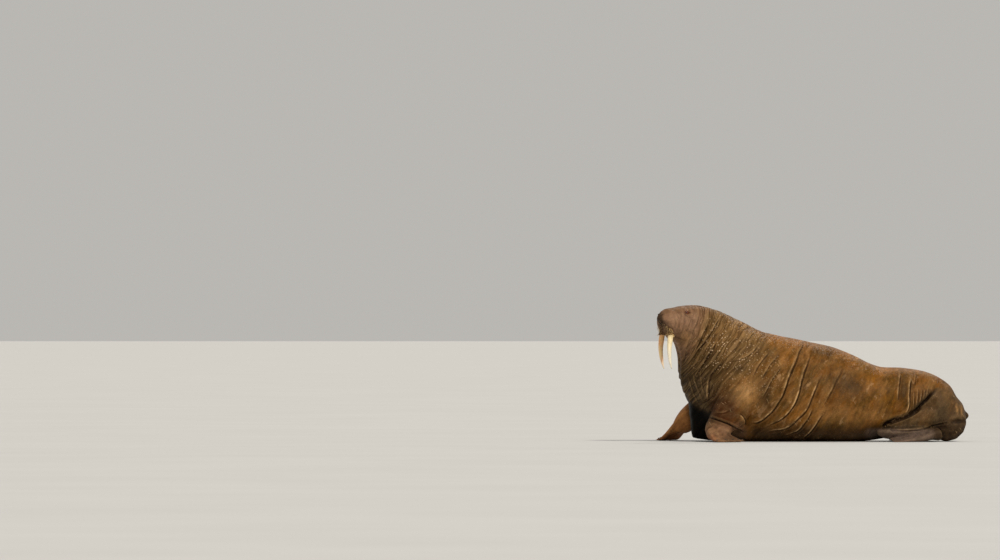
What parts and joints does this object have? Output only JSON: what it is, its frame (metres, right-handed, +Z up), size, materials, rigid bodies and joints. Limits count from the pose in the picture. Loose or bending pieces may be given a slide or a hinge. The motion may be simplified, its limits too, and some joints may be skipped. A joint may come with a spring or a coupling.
{
  "type": "walrus",
  "caption": "Still life-size walrus resting on level ground, propped on its fore flippers, hind flippers tucked forward, with tusks, whisker bristles and folded skin.",
  "frame": {"origin": "on the floor under the middle of the whole animal's bounding box", "axes": "+X towards the rump, +Y towards the animal's right side, +Z up; it faces -X with the head turned a little to its left"},
  "size_m": [2.6028, 1.4024, 1.1283],
  "materials": {
    "skin": "matt",
    "flipper_skin": "matt",
    "muzzle_skin": "matt",
    "eye": "gloss",
    "ivory": "satin",
    "horn": "satin"
  },
  "bodies": {
    "root": {"head": "skin", "muzzle_left": "muzzle_skin", "muzzle_right": "muzzle_skin", "lower_jaw": "muzzle_skin", "eye_left": "eye", "eye_right": "eye", "tusk_left": "ivory", "tusk_right": "ivory", "neck": "skin", "torso_front": "skin", "torso_rear": "skin", "hindquarters": "skin", "tail": "skin", "fore_arm_left": "skin", "fore_arm_right": "skin", "fore_flipper_left": "flipper_skin", "fore_flipper_right": "flipper_skin", "hind_leg_left": "skin", "hind_leg_right": "skin", "hind_flipper_left": "flipper_skin", "hind_flipper_right": "flipper_skin", "nail_fore_flipper_left_1": "horn", "nail_fore_flipper_left_2": "horn", "nail_fore_flipper_left_3": "horn", "nail_fore_flipper_left_4": "horn", "nail_fore_flipper_left_5": "horn", "nail_fore_flipper_right_1": "horn", "nail_fore_flipper_right_2": "horn", "nail_fore_flipper_right_3": "horn", "nail_fore_flipper_right_4": "horn", "nail_fore_flipper_right_5": "horn", "nail_hind_flipper_left_1": "horn", "nail_hind_flipper_left_2": "horn", "nail_hind_flipper_left_3": "horn", "nail_hind_flipper_left_4": "horn", "nail_hind_flipper_left_5": "horn", "nail_hind_flipper_right_1": "horn", "nail_hind_flipper_right_2": "horn", "nail_hind_flipper_right_3": "horn", "nail_hind_flipper_right_4": "horn", "nail_hind_flipper_right_5": "horn"}
  },
  "joints": []
}
